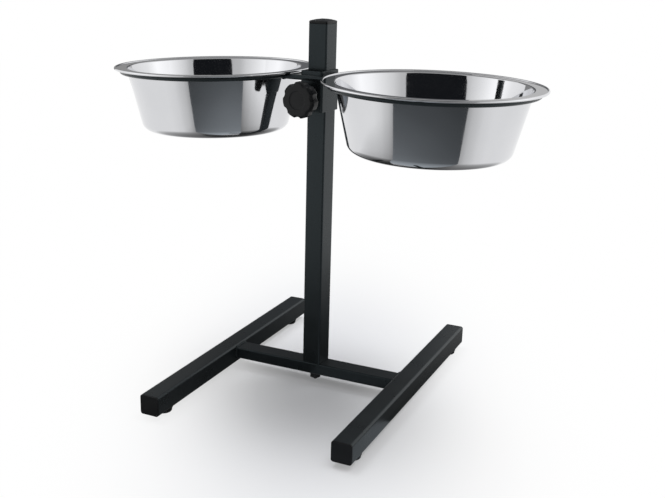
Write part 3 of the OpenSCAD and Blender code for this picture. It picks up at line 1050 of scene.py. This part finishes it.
def camera():
    """Camera at the photograph's place and angle."""
    data = bpy.data.cameras.new("camera")
    data.sensor_width = SENSOR_WIDTH
    data.lens = FOCAL_PIXELS / IMAGE_WIDTH * SENSOR_WIDTH
    data.shift_x = CENTRE_RIGHT_PIXELS / IMAGE_WIDTH
    data.shift_y = CENTRE_UP_PIXELS / IMAGE_WIDTH
    thing = bpy.data.objects.new("camera", data)
    yaw = Matrix.Rotation(CAMERA_YAW, 4, "Z")
    tilt = Matrix.Rotation(math.pi / 2 - CAMERA_PITCH, 4, "X")
    roll = Matrix.Rotation(CAMERA_ROLL, 4, "Z")
    thing.matrix_world = Matrix.Translation(CAMERA_PLACE) @ yaw @ tilt @ roll
    bpy.context.scene.collection.objects.link(thing)
    bpy.context.scene.camera = thing


def area_light(name, place, side, power):
    """Soft square light that metal and gloss don't mirror."""
    data = bpy.data.lights.new(name, "AREA")
    data.shape = "SQUARE"
    data.size = side
    data.energy = power
    thing = bpy.data.objects.new(name, data)
    thing.visible_glossy = False
    turn = (LIGHT_TARGET - Vector(place)).to_track_quat("-Z", "Y").to_matrix().to_4x4()
    thing.matrix_world = Matrix.Translation(place) @ turn
    bpy.context.scene.collection.objects.link(thing)


def world():
    """White for the camera, brighter at the sides for reflections, and a softer light for everything else."""
    scene = bpy.context.scene
    scene.world = bpy.data.worlds.new("studio")
    scene.world.use_nodes = True
    tree = scene.world.node_tree
    tree.nodes.clear()
    path = tree.nodes.new("ShaderNodeLightPath")
    place = tree.nodes.new("ShaderNodeTexCoord")
    mirrored = front_level(tree, place.outputs["Generated"], SIDE_LEVELS, BRIGHTEST)
    unseen = tree.nodes.new("ShaderNodeMapRange")
    unseen.inputs["To Min"].default_value = AMBIENT
    tree.links.new(mirrored, unseen.inputs["To Max"])
    tree.links.new(path.outputs["Is Glossy Ray"], unseen.inputs["Value"])
    strength = tree.nodes.new("ShaderNodeMapRange")
    strength.inputs["To Max"].default_value = 1.0
    tree.links.new(unseen.outputs["Result"], strength.inputs["To Min"])
    tree.links.new(path.outputs["Is Camera Ray"], strength.inputs["Value"])
    sky = tree.nodes.new("ShaderNodeBackground")
    tree.links.new(strength.outputs["Result"], sky.inputs["Strength"])
    sky.inputs["Color"].default_value = (1, 1, 1, 1)
    out = tree.nodes.new("ShaderNodeOutputWorld")
    tree.links.new(sky.outputs["Background"], out.inputs["Surface"])


def stage():
    """Floor, the cards that the bowls and the paint mirror, and the lights."""
    reach = FLOOR_REACH
    square = [(-reach, -reach, 0), (reach, -reach, 0), (reach, reach, 0), (-reach, reach, 0)]
    floor = add_stage("floor", square, [(0, 1, 2, 3)], floor_material())
    # Moved, turned and squeezed so that the painted glow's ramp runs in an ellipse round the stand
    floor.location = SHADOW_MIDDLE
    floor.rotation_euler.z = SHADOW_TURN
    floor.scale.x = SHADOW_WIDTH / SHADOW_LENGTH
    shades = [(radius, [level * tint for tint in SHADE_TINT]) for radius, level in SHADED_FLOOR]
    near_floor_shades = [(radius, grey(level)) for radius, level in NEAR_FLOOR_PAINTED_SHADE]
    ceilings = [(radius, grey(level)) for radius, level in CEILING]
    card("black_card", BLACK_ROWS, FACING, card_material("black_card", BLACK))
    card("shaded_floor", SHADED_ROWS, FACING, card_material("shaded_floor", stops=shades))
    # Painted shade of the floor near the stand, mirrored by the paint and the bowls everywhere but in front
    near_floor_shade = card_material("painted_floor_shade", stops=near_floor_shades, levels=FLOOR_LEVELS)
    card("painted_floor_shade", NEAR_FLOOR_SHADE_ROWS, FACING + 180, near_floor_shade)
    sides = card_material("side_light", levels=SIDE_LEVELS, brightest=BRIGHTEST)
    card("side_light", SIDE_ROWS, FACING, sides)
    card("ceiling", CEILING_ROWS, FACING, card_material("ceiling", stops=ceilings))
    for name, middle, half, colour in FAR_CARDS:
        rows = [(FAR_DISTANCE, FAR_LOW, half), (FAR_DISTANCE, FAR_HIGH, half)]
        card(name, rows, middle, card_material(name, colour))
    for light in LIGHTS:
        area_light(*light)


camera()
world()
stage()
bpy.context.scene.view_settings.view_transform = "Standard"
